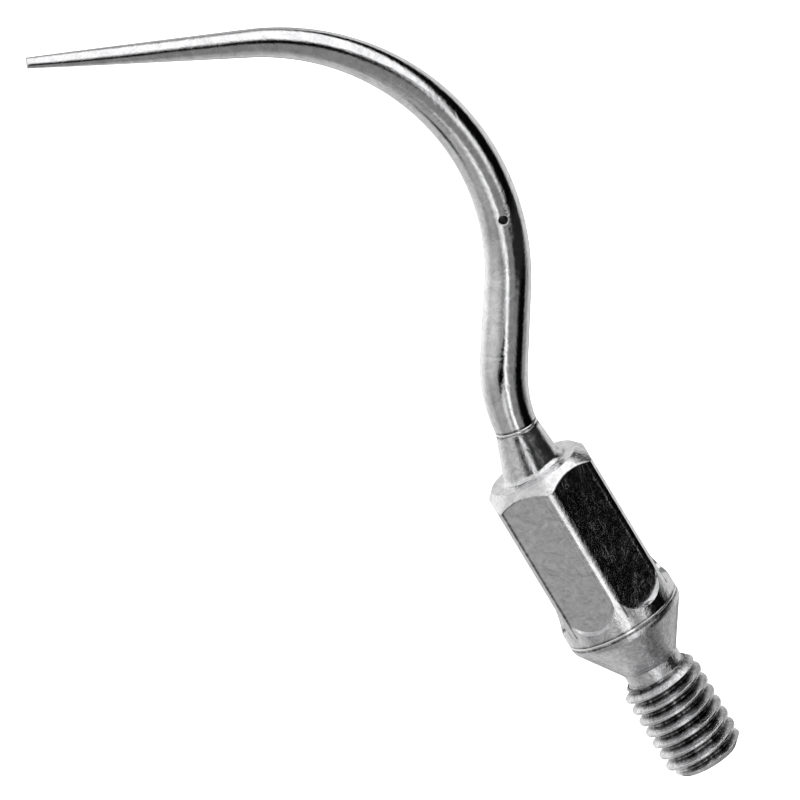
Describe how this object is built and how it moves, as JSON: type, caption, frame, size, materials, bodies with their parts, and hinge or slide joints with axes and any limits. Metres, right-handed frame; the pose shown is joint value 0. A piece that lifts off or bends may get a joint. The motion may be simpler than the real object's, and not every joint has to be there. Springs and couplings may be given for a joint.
{
  "type": "dental scaler tip",
  "caption": "Bent, tapered scaler tip with a hexagonal wrench body, a cone and a threaded shank, brazed end to end and drilled for water.",
  "frame": {"origin": "middle of the thread's free end face, where water enters", "axes": "+Z along the thread's axis towards the working end; the working end bends in the XZ plane, first towards +X, then over to -X; two of the hexagon's flats face +X and -X"},
  "size_m": [0.0132, 0.0044, 0.0363],
  "materials": {
    "turned_steel": "turned, bright",
    "milled_steel": "milled, finely mottled",
    "polished_steel": "polished by hand",
    "braze": "bright silver filler"
  },
  "bodies": {
    "root": {"threaded_shank": "turned_steel", "hex_body": "milled_steel", "working_tip": "polished_steel", "shank_braze_ring": "braze", "tip_braze_ring": "braze"}
  },
  "joints": []
}
